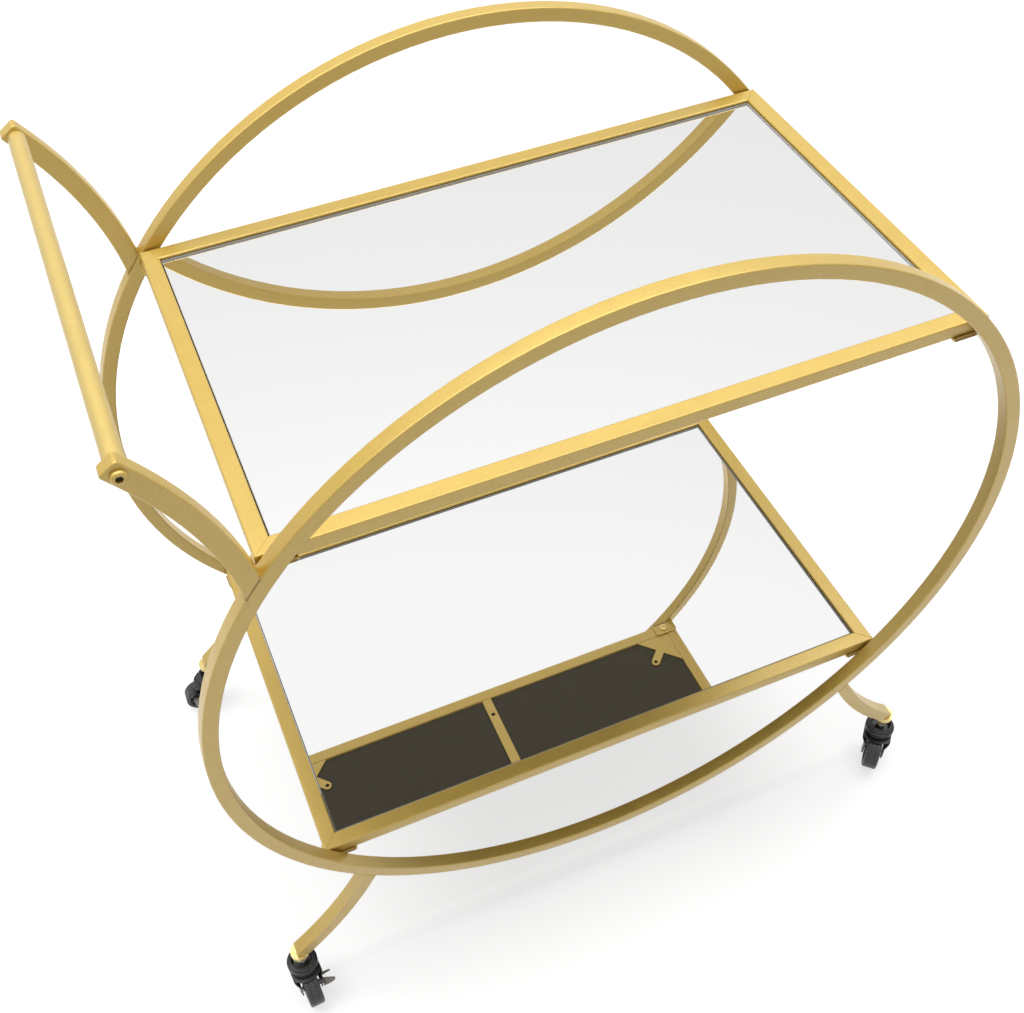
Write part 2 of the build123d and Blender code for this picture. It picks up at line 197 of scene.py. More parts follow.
def slab(build, outline, low, high, edge, place=Matrix(), holes=()):
    """A plate with rounded edges between two heights. The outline and the holes run anticlockwise."""
    steps = 3
    quarter = [k * pi / 2 / steps for k in range(steps + 1)]
    levels = [(edge * (1 - sin(a)), low + edge * (1 - cos(a))) for a in quarter]
    levels += [(edge * (1 - cos(a)), high - edge * (1 - sin(a))) for a in quarter]
    rims = {0: [], len(levels) - 1: []}
    for points, way in [(outline, 1)] + [(hole, -1) for hole in holes]:
        loops = [
            [build.verts.new(place @ Vector((x, y, height))) for x, y in inset(points, way * inward)]
            for inward, height in levels
        ]
        for a, b in zip(loops, loops[1:]):
            for i in range(len(a)):
                j = (i + 1) % len(a)
                build.faces.new((a[i], a[j], b[j], b[i]))
        for level in rims:
            rims[level].append(loops[level])
    for loops in rims.values():
        if holes:
            edges = [build.edges.get((loop[i - 1], loop[i])) for loop in loops for i in range(len(loop))]
            bmesh.ops.triangle_fill(build, use_beauty=True, edges=edges)
        else:
            build.faces.new(loops[0])


def weigh_normals(piece):
    """Shades large faces flat up to their rounded edges."""
    shading = piece.modifiers.new("shading", "WEIGHTED_NORMAL")
    shading.weight = 80
    return shading


def round_edges(piece, width, segments, angle):
    """A bevel on the edges where faces meet at more than an angle."""
    bevel = piece.modifiers.new("rounding", "BEVEL")
    bevel.width = width * MM
    bevel.segments = segments
    bevel.limit_method = "ANGLE"
    bevel.angle_limit = radians(angle)


def make_piece(name, build, material, body="frame", stands_for=()):
    """Turns the built mesh into an object of the model."""
    bmesh.ops.remove_doubles(build, verts=build.verts, dist=0.002)
    bmesh.ops.recalc_face_normals(build, faces=build.faces)
    bmesh.ops.scale(build, vec=(MM, MM, MM), verts=build.verts)
    mesh = bpy.data.meshes.new(name)
    build.to_mesh(mesh)
    build.free()
    mesh.polygons.foreach_set("use_smooth", [True] * len(mesh.polygons))
    mesh.set_sharp_from_angle(angle=radians(SMOOTH_ANGLE))
    mesh.materials.append(material)
    piece = bpy.data.objects.new(name, mesh)
    bpy.context.scene.collection.objects.link(piece)
    weigh_normals(piece).keep_sharp = True
    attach(piece, body)
    if stands_for:
        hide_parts(*stands_for)
    return piece


# Materials

def new_material(name, base, metallic, roughness, **sockets):
    material = bpy.data.materials.new(name)
    material.use_nodes = True
    shader = material.node_tree.nodes["Principled BSDF"]
    values = {"Base Color": (*base, 1), "Metallic": metallic, "Roughness": roughness, **sockets}
    for socket, value in values.items():
        shader.inputs[socket].default_value = value
    return material, material.node_tree, shader


def place_on(tree, stretch=(1, 1, 1)):
    """Coordinates fixed to the piece, in metres."""
    coordinates = tree.nodes.new("ShaderNodeTexCoord")
    mapping = tree.nodes.new("ShaderNodeMapping")
    mapping.inputs["Scale"].default_value = stretch
    tree.links.new(coordinates.outputs["Object"], mapping.inputs["Vector"])
    return mapping.outputs["Vector"]


def grain(tree, where, scale, detail=3.0, roughness=0.55):
    texture = tree.nodes.new("ShaderNodeTexNoise")
    texture.inputs["Scale"].default_value = scale
    texture.inputs["Detail"].default_value = detail
    texture.inputs["Roughness"].default_value = roughness
    tree.links.new(where, texture.inputs["Vector"])
    return texture.outputs["Fac"]


def spread(tree, value, low, high, start=0.3, end=0.7):
    """Maps a noise value onto a range."""
    ranged = tree.nodes.new("ShaderNodeMapRange")
    for socket, number in {"From Min": start, "From Max": end, "To Min": low, "To Max": high}.items():
        ranged.inputs[socket].default_value = number
    tree.links.new(value, ranged.inputs["Value"])
    return ranged.outputs["Result"]


def between(tree, factor, first, second):
    """Mixes two colours, each a colour or an output."""
    mix = tree.nodes.new("ShaderNodeMix")
    mix.data_type = "RGBA"
    tree.links.new(factor, mix.inputs["Factor"])
    for socket, colour in ((mix.inputs[6], first), (mix.inputs[7], second)):
        if isinstance(colour, tuple):
            socket.default_value = (*colour, 1)
        else:
            tree.links.new(colour, socket)
    return mix.outputs[2]


def relief(tree, shader, height, strength, depth):
    bump = tree.nodes.new("ShaderNodeBump")
    bump.inputs["Strength"].default_value = strength
    bump.inputs["Distance"].default_value = depth
    tree.links.new(height, bump.inputs["Height"])
    tree.links.new(bump.outputs["Normal"], shader.inputs["Normal"])


def painted(name, base, tint, deep, metallic, roughness, speckle=900.0, **sockets):
    """Sprayed metallic paint: fine flakes, a slow change of tone, orange peel and uneven gloss."""
    material, tree, shader = new_material(name, base, metallic, roughness, **sockets)
    where = place_on(tree)
    flakes = spread(tree, grain(tree, where, speckle, 2.0), 0.0, 1.0, 0.35, 0.65)
    slow = spread(tree, grain(tree, where, 9.0, 2.0), 0.0, 0.6)
    tone = between(tree, slow, base, tint)
    colour = between(tree, spread(tree, flakes, 0.0, 0.3, 0.5, 1.0), tone, deep)
    tree.links.new(colour, shader.inputs["Base Color"])
    gloss = spread(tree, grain(tree, where, 60.0, 4.0), roughness - 0.05, roughness + 0.07)
    tree.links.new(gloss, shader.inputs["Roughness"])
    relief(tree, shader, grain(tree, where, 650.0, 3.0), 0.12, 0.00025)
    return material


def silvered_glass(name, base):
    """A mirror with a little dust, and wiping marks that only show in its gloss."""
    material, tree, shader = new_material(name, base, 1.0, 0.012)
    wiped = grain(tree, place_on(tree, (1, 5, 1)), 7.0, 5.0, 0.6)
    tree.links.new(spread(tree, wiped, 0.004, 0.03, 0.45, 0.75), shader.inputs["Roughness"])
    dust = spread(tree, grain(tree, place_on(tree), 260.0, 4.0), 0.0, 0.25, 0.62, 0.85)
    tree.links.new(between(tree, dust, base, (0.86, 0.86, 0.85)), shader.inputs["Base Color"])
    return material


def ground_glass():
    """The ground edge of the mirror, a neutral grey with fine scratches."""
    material, tree, shader = new_material("glass_edge", (0.48, 0.475, 0.47), 0.0, 0.45)
    scratches = grain(tree, place_on(tree, (1, 1, 4)), 900.0, 3.0)
    colour = between(tree, spread(tree, scratches, 0.0, 1.0), (0.42, 0.42, 0.41), (0.58, 0.58, 0.56))
    tree.links.new(colour, shader.inputs["Base Color"])
    relief(tree, shader, scratches, 0.15, 0.0001)
    return material


def hardboard():
    """Dark brown board, pressed from fibres that lie mostly one way."""
    material, tree, shader = new_material("hardboard", (0.056, 0.045, 0.022), 0.0, 0.6)
    fibres = grain(tree, place_on(tree, (1, 14, 14)), 55.0, 6.0, 0.65)
    blotches = grain(tree, place_on(tree), 14.0, 3.0)
    dark = between(tree, spread(tree, fibres, 0.0, 1.0), (0.045, 0.036, 0.017), (0.074, 0.060, 0.031))
    tree.links.new(between(tree, spread(tree, blotches, 0.0, 0.5), dark, (0.062, 0.047, 0.025)),
                   shader.inputs["Base Color"])
    tree.links.new(spread(tree, fibres, 0.5, 0.68), shader.inputs["Roughness"])
    relief(tree, shader, fibres, 0.25, 0.0003)
    return material


def turned_metal(name, base, shade, roughness, along=(1, 1, 30)):
    """Bare or plated metal with fine tool marks."""
    material, tree, shader = new_material(name, base, 1.0, roughness)
    marks = grain(tree, place_on(tree, along), 240.0, 4.0)
    tree.links.new(between(tree, spread(tree, marks, 0.0, 1.0), base, shade), shader.inputs["Base Color"])
    tree.links.new(spread(tree, marks, roughness - 0.06, roughness + 0.1), shader.inputs["Roughness"])
    relief(tree, shader, marks, 0.1, 0.0001)
    return material


def moulded(name, base, worn, roughness, scuffs, gloss_range=0.1):
    """Moulded plastic or rubber with a fine skin and lighter scuffs."""
    material, tree, shader = new_material(name, base, 0.0, roughness)
    where = place_on(tree)
    rubbed = spread(tree, grain(tree, where, 130.0, 5.0, 0.65), 0.0, scuffs, 0.48, 0.72)
    tree.links.new(between(tree, rubbed, base, worn), shader.inputs["Base Color"])
    fine = grain(tree, where, 1500.0, 3.0)
    tree.links.new(spread(tree, fine, roughness - gloss_range / 2, roughness + gloss_range / 2),
                   shader.inputs["Roughness"])
    relief(tree, shader, fine, 0.18, 0.0002)
    return material


def lacquer(weight, ior, roughness):
    """The sockets of a clear coat over paint."""
    return {"Coat Weight": weight, "Coat IOR": ior, "Coat Roughness": roughness, "Specular IOR Level": 0.3}


GOLD = painted("gold_paint", (0.74, 0.50, 0.095), (0.73, 0.525, 0.12), (0.55, 0.345, 0.055), 0.30, 0.36,
               **lacquer(0.45, 1.9, 0.32))
GOLD_HANDLE = painted("gold_handle_paint", (0.78, 0.565, 0.16), (0.77, 0.585, 0.18), (0.62, 0.43, 0.10),
                      0.30, 0.33, **lacquer(0.5, 1.8, 0.3))
WELD_METAL = painted("weld_paint", (0.44, 0.30, 0.08), (0.56, 0.40, 0.13), (0.22, 0.14, 0.04), 0.3, 0.45,
                     500.0)
# Painted shade: a very dark brown for the hollow of the bolt sockets.
SOCKET_SHADE_PAINT = painted("socket_shade", (0.035, 0.026, 0.012), (0.05, 0.036, 0.015), (0.02, 0.015, 0.01),
                      0.0, 0.75)
MIRROR = silvered_glass("upper_mirror_glass", (0.94, 0.94, 0.935))
# Painted shade: the same glass as the upper mirror, made darker for the shade under the upper shelf.
MIRROR_LOW_SHADED = silvered_glass("lower_mirror_glass_painted_shade", (0.88, 0.88, 0.875))
GLASS_EDGE = ground_glass()
BOARD = hardboard()
BRASS = turned_metal("brass", (0.80, 0.64, 0.28), (0.66, 0.50, 0.20), 0.3)
STEEL = turned_metal("plated_steel", (0.60, 0.60, 0.59), (0.46, 0.46, 0.46), 0.32)
BLACK_PLASTIC = moulded("black_plastic", (0.020, 0.020, 0.022), (0.055, 0.055, 0.06), 0.31, 0.5)
BLACK_STEEL = painted("black_enamel", (0.020, 0.020, 0.021), (0.026, 0.025, 0.025), (0.05, 0.05, 0.05),
                      0.0, 0.3)
PEDAL_STEEL = painted("pedal_enamel", (0.25, 0.24, 0.22), (0.21, 0.20, 0.18), (0.10, 0.095, 0.085), 0.4, 0.36,
                      1600.0)
RUBBER = moulded("wheel_rubber", (0.058, 0.060, 0.057), (0.13, 0.13, 0.125), 0.38, 0.6, 0.14)
FLOOR_PALE = (0.60, 0.60, 0.60)
FLOOR_GLOW = 0.68  # makes the sheet white to the eye, on top of what the lamp gives


# Solids of the frame: rounded edges and paint

def dress(names, material, edge):
    """Rounds the edges of CAD nodes and gives them a material."""
    for name in names:
        node = NODES[name]
        node.data.materials.clear()
        node.data.materials.append(material)
        weld = node.modifiers.new("weld", "WELD")
        weld.merge_threshold = 0.00001
        if edge:
            round_edges(node, edge, 3, SMOOTH_ANGLE)
        weigh_normals(node)


def dress_frame():
    dress([name for name in NODES if name.startswith(("ring_", "leg_f", "leg_r"))], GOLD, TUBE_EDGE)
    dress([name for name in NODES if "_rail_" in name], GOLD, RAIL_EDGE)
    dress([name for name in NODES if name.endswith(("_tabs", "_brace"))], GOLD, PLATE_EDGE)
    dress(["handle_bar"], GOLD_HANDLE, 0)
    dress(["upper_board", "lower_board"], BOARD, PLATE_EDGE)
    dress(["leg_sockets"], BRASS, PLATE_EDGE)


# Caster pieces

def build_collar(name):
    """A moulded collar: three ledges, each narrower than the one under it, and a deep cup round the stem."""
    floor, rim, bore = COLLAR_FLOOR, COLLAR_RIM, STEM_RADIUS + 0.05
    wall = [(13.8, 43.2), (14.7, 43.5), (15.1, 44.1), (15.1, 45.8), (14.7, 46.3), (14.2, 46.5), (14.2, 47.0),
            (14.7, 47.2), (15.1, 47.8), (15.2, 49.6), (15.0, 50.3), (14.4, 50.7), (13.6, 50.8)]
    ledges = [(13.3, 51.0), (13.1, 51.5), (13.0, 53.1), (12.8, 53.6), (12.3, 53.9), (11.7, 54.0),
              (11.5, 54.2), (11.4, 54.7)]
    cup = [(11.3, rim - 0.7), (11.1, rim - 0.2), (10.7, rim), (10.2, rim - 0.1), (9.9, rim - 0.5),
           (9.7, rim - 1.3), (9.2, floor + 0.6), (8.8, floor), (bore, floor)]
    build = bmesh.new()
    lathe(build, [(bore, 43.2)] + wall + ledges + cup, caster_place(name), closed=True, segments=72)
    make_piece(f"collar_{name}", build, BLACK_PLASTIC, stands_for=["caster_collars"])


def hexagon(across_flats, edge):
    corner = across_flats / sqrt(3)
    turns = [radians(60 * k) for k in range(6)]
    return rounded([(corner * cos(a), corner * sin(a)) for a in turns], edge, 2)


def build_stem(name):
    """A threaded stem with wrench flats, a hexagonal head inside the fork, and a nut on its thread."""
    place = caster_place(name)
    build = bmesh.new()
    turns, steps_per_pitch = 32, 6
    shank_bottom, flats_top, nut_bottom = 41.0, 55.6, 59.6
    rows = int((NECK_BOTTOM - flats_top + THREAD_PITCH) / THREAD_PITCH * steps_per_pitch)
    rings = []
    for row in range(rows + 1):
        height = NECK_BOTTOM - row * THREAD_PITCH / steps_per_pitch
        ring = []
        for k in range(turns):
            wave = 0.5 - 0.5 * cos(2 * pi * (height / THREAD_PITCH - k / turns))
            radius = STEM_RADIUS - THREAD_DEPTH * wave
            ring.append((radius * cos(2 * pi * k / turns), radius * sin(2 * pi * k / turns), height))
        rings.append(ring)
    loft(build, rings[::-1], place)
    lathe(build, [(STEM_RADIUS, shank_bottom), (STEM_RADIUS, flats_top - 0.5)], place, segments=turns)
    slab(build, hexagon(STEM_HEAD_FLATS, 0.3), STEM_HEAD_BOTTOM, shank_bottom + 0.2, 0.3, place)
    slab(build, hexagon(STEM_WRENCH_FLATS, 0.4), COLLAR_FLOOR - 0.2, flats_top, 0.4, place)
    make_piece(f"stem_{name}", build, STEEL, stands_for=["caster_stems"])
    nut = bmesh.new()
    turned = place @ Matrix.Rotation(radians(17), 4, "Z")
    slab(nut, hexagon(STEM_NUT_FLATS, 0.5), nut_bottom, NECK_BOTTOM - 0.05, 0.5, turned)
    make_piece(f"stem_nut_{name}", nut, BRASS)


def cheek_edges():
    """The front and rear edges of the cheek as functions of height, round the axle at the lower end."""
    centre = Vector((TRAIL, WHEEL_RADIUS))

    def edge(top_u, hand):
        top = Vector((top_u, CROWN_TOP))
        away = centre - top
        swing = acos(CHEEK_END / away.length)
        touch = atan2(-away.y, -away.x) + hand * swing
        tangent = centre + Vector((cos(touch), sin(touch))) * CHEEK_END

        def at(height):
            if height >= tangent.y:
                return tangent.x + (top.x - tangent.x) * (height - tangent.y) / (top.y - tangent.y)
            half = sqrt(max(0.0, CHEEK_END ** 2 - (height - centre.y) ** 2))
            return centre.x - hand * half
        return at

    return edge(CHEEK_FRONT, 1), edge(CROWN_REACH, -1)


def ease(t):
    """From 0 to 1 with a soft start and a soft end."""
    return t * t * (3 - 2 * t)


def fork_outside():
    """The fork's outside as (v, z), from the end of one cheek over the crown to the end of the other."""
    crown_steps, fold_steps, shoulder_steps, cheek_steps, end_steps = 6, 5, 6, 5, 7
    fold_v, fold_z = SHOULDER - FOLD_RADIUS, CROWN_TOP - FOLD_RADIUS
    side = [(fold_v * i / crown_steps, CROWN_TOP) for i in range(crown_steps)]
    side += arc(fold_v, fold_z, FOLD_RADIUS, 90, 0, fold_steps)
    for i in range(1, shoulder_steps + 1):
        t = i / shoulder_steps
        drawn = (SHOULDER - CHEEK_OUTSIDE) * ease(t)
        side.append((SHOULDER - drawn, fold_z + (SHOULDER_FOOT - fold_z) * t))
    side += [(CHEEK_OUTSIDE, SHOULDER_FOOT + (WHEEL_RADIUS - SHOULDER_FOOT) * i / cheek_steps)
             for i in range(1, cheek_steps)]
    side += [(CHEEK_OUTSIDE, WHEEL_RADIUS - CHEEK_END * sin(radians(86) * i / end_steps))
             for i in range(end_steps + 1)]
    return [(-v, z) for v, z in side[:0:-1]] + side


def build_fork(name):
    """A fork pressed from one sheet: a round crown, shoulders drawn in to two cheeks, and rounded ends."""
    front_edge, rear_edge = cheek_edges()
    path = fork_outside()
    thickness = CHEEK_OUTSIDE - CHEEK_INSIDE
    shoulder_top = CROWN_TOP - FOLD_RADIUS / 2
    columns = 8
    rings = []
    for i, (v, z) in enumerate(path):
        (v0, z0), (v1, z1) = path[max(i - 1, 0)], path[min(i + 1, len(path) - 1)]
        run = hypot(v1 - v0, z1 - z0)
        normal_v, normal_z = (z0 - z1) / run, (v1 - v0) / run
        front, rear = -sqrt(CROWN_ROUND ** 2 - v ** 2), sqrt(CROWN_REACH ** 2 - v ** 2)
        drawn = ease(min(1.0, max(0.0, (shoulder_top - z) / (shoulder_top - SHOULDER_FOOT))))
        front += (front_edge(z) - front) * drawn
        rear += (rear_edge(z) - rear) * drawn
        across = [front + (rear - front) * k / columns for k in range(columns + 1)]
        outer = [(u, v, z) for u in across]
        inner = [(u, v - normal_v * thickness, z - normal_z * thickness) for u in across[::-1]]
        rings.append(outer + inner)
    build = bmesh.new()
    loft(build, rings, caster_place(name))
    bmesh.ops.remove_doubles(build, verts=build.verts, dist=0.01)
    piece = make_piece(f"fork_plate_{name}", build, BLACK_STEEL, f"caster_{name}",
                       [f"fork_{name}"])
    round_edges(piece, 0.3, 2, 50.0)
    piece.modifiers.move(len(piece.modifiers) - 1, 0)  # the rounding comes before the shading


def rivet_profile(radius, base, top):
    """Half of a domed rivet head between two heights, from its rim to near its middle."""
    rise = top - base
    return [(radius, base), (radius, base + 0.25 * rise), (0.94 * radius, base + 0.5 * rise),
            (0.78 * radius, base + 0.74 * rise), (0.52 * radius, base + 0.92 * rise), (0.2 * radius, top)]


def build_axle(name):
    """The riveted axle with a domed head outside each cheek."""
    build = bmesh.new()
    across = sideways(caster_place(name), TRAIL, WHEEL_RADIUS)
    side = rivet_profile(AXLE_HEAD, CHEEK_OUTSIDE - 0.1, CHEEK_OUTSIDE + 1.1)
    shank = [(AXLE_RADIUS, -side[0][1]), (AXLE_RADIUS, side[0][1])]
    lathe(build, [(r, -h) for r, h in side[::-1]] + shank + side, across)
    make_piece(f"axle_{name}", build, STEEL, f"caster_{name}")


def build_wheel(name):
    """A moulded wheel: hub, sunk web with six ribs, and a tread with rounded shoulders."""
    place = sideways(caster_place(name), TRAIL, WHEEL_RADIUS)
    hub = [(2.55, 8.1), (3.4, 8.1), (3.7, 7.95), (3.85, 7.6), (4.1, 5.4), (4.9, 4.7)]
    rim = [(14.0, 4.3), (14.9, 4.7), (15.5, 6.9), (16.0, 7.35), (16.6, 7.5), (18.0, 7.5), (18.8, 7.3)]
    tread = [(19.5, 6.8), (19.9, 6.0), (20.0, 5.1), (20.0, 3.1), (19.75, 2.9), (19.75, 2.5), (20.0, 2.3)]
    half = hub + rim + tread
    profile = half + [(r, -h) for r, h in half[::-1]]
    build = bmesh.new()
    lathe(build, profile, place, closed=True, segments=96)
    rib = rounded([(3.7, -0.7), (15.2, -0.55), (15.2, 0.55), (3.7, 0.7)], 0.3, 2)
    for k in range(6):
        turned = place @ Matrix.Rotation(radians(60 * k), 4, "Z")
        for low, high in ((4.0, 6.4), (-6.4, -4.0)):
            slab(build, rib, low, high, 0.3, turned)
    make_piece(f"tread_wheel_{name}", build, RUBBER, f"wheel_{name}", [f"wheel_{name}"])


def brake_shoe():
    """The section of the brake shoe at rest. It lies flat on the tread when the lever is down."""
    touch = 54.0  # where it presses on the tread, from level
    gap, thickness, half = 0.15, 1.0, 1.8
    near = WHEEL_RADIUS + gap
    far = near + thickness
    corners = [(near, -half), (far, -half), (far, half), (near, half)]
    wheel_from_pivot = Matrix.Translation((TRAIL - PIVOT_U, WHEEL_RADIUS - PIVOT_Z, 0))
    pressed = wheel_from_pivot @ Matrix.Rotation(radians(touch), 4, "Z")
    back = Matrix.Translation((PIVOT_U, PIVOT_Z, 0)) @ Matrix.Rotation(radians(BRAKE_TRAVEL), 4, "Z")
    lifted = back @ pressed
    return [tuple((lifted @ Vector((x, y, 0))).xy) for x, y in corners]


def build_lever(name):
    """The brake lever: a plate on its rivet with a shoe over the tread, and two pedals folded outward."""
    place = caster_place(name)
    upright = sideways(place, 0, 0)
    outside = LEVER_INSIDE + LEVER_PLATE
    root = LEVER_INSIDE + 0.4
    shoe = brake_shoe()
    eye = circle(PIVOT_U, PIVOT_Z, PIVOT_EYE)
    strip = [(12.6, PEDAL_TOP - 0.6), (13.2, PEDAL_TOP), (25.6, PEDAL_TOP), (26.0, PEDAL_TOP - 0.9)]
    plate, pedals = bmesh.new(), bmesh.new()
    slab(plate, hull(eye + strip + shoe), LEVER_INSIDE, outside, 0.3, upright)
    slab(plate, rounded(shoe, 0.35, 3), 2.5, outside - 0.3, 0.3, upright)
    rivet = [(PIVOT_RADIUS, CHEEK_INSIDE + 0.1), (PIVOT_RADIUS, outside - 0.2)]
    rivet += rivet_profile(PIVOT_HEAD, outside - 0.1, outside + 0.8)
    lathe(plate, rivet, sideways(place, PIVOT_U, PIVOT_Z), segments=32)
    front = [(12.3, root), (15.6, root), (15.0, 17.0), (14.7, 21.6), (14.2, 22.0), (13.2, 22.0), (12.7, 21.4),
             (12.4, 17.0)]
    rear = [(17.6, root), (26.0, root), (26.0, 18.6), (25.4, 22.0), (24.6, 23.6), (23.4, 24.0), (22.0, 23.6),
            (20.7, 20.2), (18.9, 16.4)]
    for outline, corner in ((front, 1.0), (rear, 1.4)):
        slab(pedals, rounded(outline, corner), PEDAL_TOP - LEVER_PLATE, PEDAL_TOP, 0.35, place)
    for part, build, material in (("lever_plate", plate, BLACK_STEEL), ("lever_pedals", pedals, PEDAL_STEEL)):
        make_piece(f"{part}_{name}", build, material, f"brake_{name}", [f"brake_lever_{name}"])


# Pieces of the frame

def build_mirror(level):
    """A silvered pane. The silver is on the back of the glass, so it lies low in a ground edge."""
    (x0, y0, z0), (x1, y1, z1) = (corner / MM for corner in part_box(f"{level}_mirror"))
    sunk, edge_drop, edge = 2.6, 1.4, 0.5
    outline = rounded(oblong(x0, y0, x1, y1), 0.6, 3)
    opening = rounded(oblong(x0 + edge, y0 + edge, x1 - edge, y1 - edge), 0.4, 3)
    silver, border = bmesh.new(), bmesh.new()
    slab(silver, inset(opening, -0.05), z0, z1 - sunk, 0.02)
    slab(border, outline, z0, z1 - edge_drop, 0.12, holes=[opening])
    # The lower pane takes the darker copy of the mirror glass, which is painted shade.
    glass = MIRROR if level == "upper" else MIRROR_LOW_SHADED
    pane = make_piece(f"{level}_silver", silver, glass, stands_for=[f"{level}_mirror"])
    pane.data.polygons.foreach_set("use_smooth", [False] * len(pane.data.polygons))
    pane.modifiers.clear()
    make_piece(f"{level}_glass_edge", border, GLASS_EDGE, stands_for=[f"{level}_mirror"])


def build_gussets(level):
    """Corner plates under the board: a triangle with a tongue that has a round end and a hole."""
    (x0, y0, low), (x1, y1, high) = (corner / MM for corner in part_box(f"{level}_gussets"))
    half = TONGUE_HALF
    slant = Vector((-1, -1)).normalized()
    across = Vector((1, -1)).normalized()
    middle = Vector((-GUSSET_LEG / 2, -GUSSET_LEG / 2))
    tip = middle + slant * (TONGUE_REACH - half)
    end = [tip - across * half * cos(radians(a)) + slant * half * sin(radians(a)) for a in range(0, 181, 12)]
    outline = [Vector((0, 0)), Vector((-GUSSET_LEG, 0)), middle - across * half, *end, middle + across * half,
               Vector((0, -GUSSET_LEG))]
    hole = circle(tip.x, tip.y, TONGUE_HOLE)
    build = bmesh.new()
    for mirror_x in (-1, 1):
        for mirror_y in (-1, 1):
            corner = Vector((x1 if mirror_x > 0 else x0, y1 if mirror_y > 0 else y0))
            place = Matrix.Translation((corner.x, corner.y, 0)) @ Matrix.Diagonal((mirror_x, mirror_y, 1, 1))
            slab(build, [tuple(p) for p in outline], low, high, 0.3, place, holes=[hole])
    make_piece(f"{level}_gusset_plates", build, GOLD, stands_for=[f"{level}_gussets"])


def build_shelf_bolts(level):
    """A socket-head bolt up through each tab, and a thin black pad between the tab and the rail."""
    low, high = (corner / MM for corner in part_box(f"{level}_tabs"))
    bolts, pads = bmesh.new(), bmesh.new()
    inset_x, head, socket, margin = 17.0, 4.8, 2.6, 0.5
    pad_left, pad_front = high.x - TAB_LENGTH + margin, TAB_INNER_Y + margin
    pad = rounded(oblong(pad_left, pad_front, high.x - margin, high.y - margin), 2.0)
    profile = [(head, 0.1), (head, -1.5), (0.96 * head, -1.9), (0.86 * head, -2.1), (socket + 0.3, -2.1),
               (socket, -1.9), (socket - 0.1, -0.3), (0.4, -0.2)]
    for mirror_x in (-1, 1):
        for mirror_y in (-1, 1):
            place = Matrix.Diagonal((mirror_x, mirror_y, 1, 1))
            seat = place @ Matrix.Translation((high.x - inset_x, (TAB_INNER_Y + high.y) / 2 + 0.5, low.z))
            lathe(bolts, profile, seat, segments=36)
            slab(pads, pad, high.z - 1.1, high.z - 0.02, 0.2, place)
    make_piece(f"{level}_shelf_bolts", bolts, BRASS)
    make_piece(f"{level}_shelf_pads", pads, BLACK_PLASTIC)


def arm_bend_centre():
    slope = radians(ARM_SLOPE)
    return Vector((HANDLE_X + ARM_BEND * sin(slope), HANDLE_Z - ARM_BEND * cos(slope)))


def build_arm(name, side):
    """A handle arm: straight past the bolt, then bent down onto the outside of the ring."""
    slope = radians(ARM_SLOPE)
    centre = arm_bend_centre()
    along, normal = Vector((cos(slope), sin(slope))), Vector((-sin(slope), cos(slope)))
    bolt = Vector((HANDLE_X, HANDLE_Z))
    half, sunk, steps = ARM_WIDTH / 2, 1.6, 20
    top = 90 + ARM_SLOPE
    angles = {}
    for edge in (half, -half):
        turn = crossing(centre, ARM_BEND + edge, -1)
        foot = Vector((0, RING_HEIGHT)) + Vector((cos(turn), sin(turn))) * (RING_RADIUS - sunk) - centre
        angles[edge] = atan2(foot.y, foot.x) * 180 / pi
    outer = arc(centre.x, centre.y, ARM_BEND + half, angles[half], top, steps)
    inner = arc(centre.x, centre.y, ARM_BEND - half, top, angles[-half], steps)
    end = [bolt + normal * half, bolt + normal * half - along * ARM_OVERHANG,
           bolt - normal * half - along * ARM_OVERHANG, bolt - normal * half]
    corner_steps = 5
    corner = corner_steps + 1  # points on each rounded corner; only the two outer corners are kept
    round_end = rounded([tuple(p) for p in end], ARM_END_ROUND, corner_steps)[corner:3 * corner]
    outline = outer + round_end + inner
    inner_face = FRAME_DEPTH / 2 - ARM_DEPTH
    upright = Matrix(((1, 0, 0, 0), (0, 0, side, side * inner_face), (0, 1, 0, 0), (0, 0, 0, 1)))
    build = bmesh.new()
    hole = circle(HANDLE_X, HANDLE_Z, BOLT_RADIUS + 0.05)
    slab(build, outline, 0.0, ARM_DEPTH, TUBE_EDGE, upright, holes=[hole])
    make_piece(f"arm_{name}", build, GOLD, stands_for=[f"handle_arm_{name}"])


def build_handle_bolts():
    """Button-head bolts through the arms, with a hexagonal socket, and a very dark slab in the socket as
    painted shade.
    """
    turns = 48
    for name, side in SIDES.items():
        outward = Matrix(((1, 0, 0, HANDLE_X), (0, 0, side, side * FRAME_DEPTH / 2), (0, 1, 0, HANDLE_Z),
                          (0, 0, 0, 1)))
        build = bmesh.new()

        def ring(radius, height, hexagonal=False):
            points = []
            for k in range(turns):
                angle = 2 * pi * k / turns
                fraction = (angle % (pi / 3)) - pi / 6
                reach = radius / cos(fraction) if hexagonal else radius
                points.append((reach * cos(angle), reach * sin(angle), height))
            return points

        rings = [ring(BOLT_RADIUS, -20.0), ring(BOLT_RADIUS, -0.05), ring(5.1, -0.05), ring(5.25, 0.2),
                 ring(5.25, 1.0), ring(5.1, 1.8), ring(4.8, 2.5), ring(4.3, 3.0), ring(3.7, 3.25),
                 ring(2.9, 3.3), ring(2.35, 3.1, True), ring(2.3, 0.6, True)]
        loft(build, rings, outward)
        make_piece(f"handle_bolt_{name}", build, GOLD, stands_for=["handle_bolts"])
        # Painted shade: a very dark slab fills the bottom of the socket, standing for the shadow in its
        # hollow.
        socket = bmesh.new()
        slab(socket, hexagon(BOLT_SOCKET_FLATS, 0.1), 0.5, 1.6, 0.1, outward)
        make_piece(f"handle_socket_shade_{name}", socket, SOCKET_SHADE_PAINT)


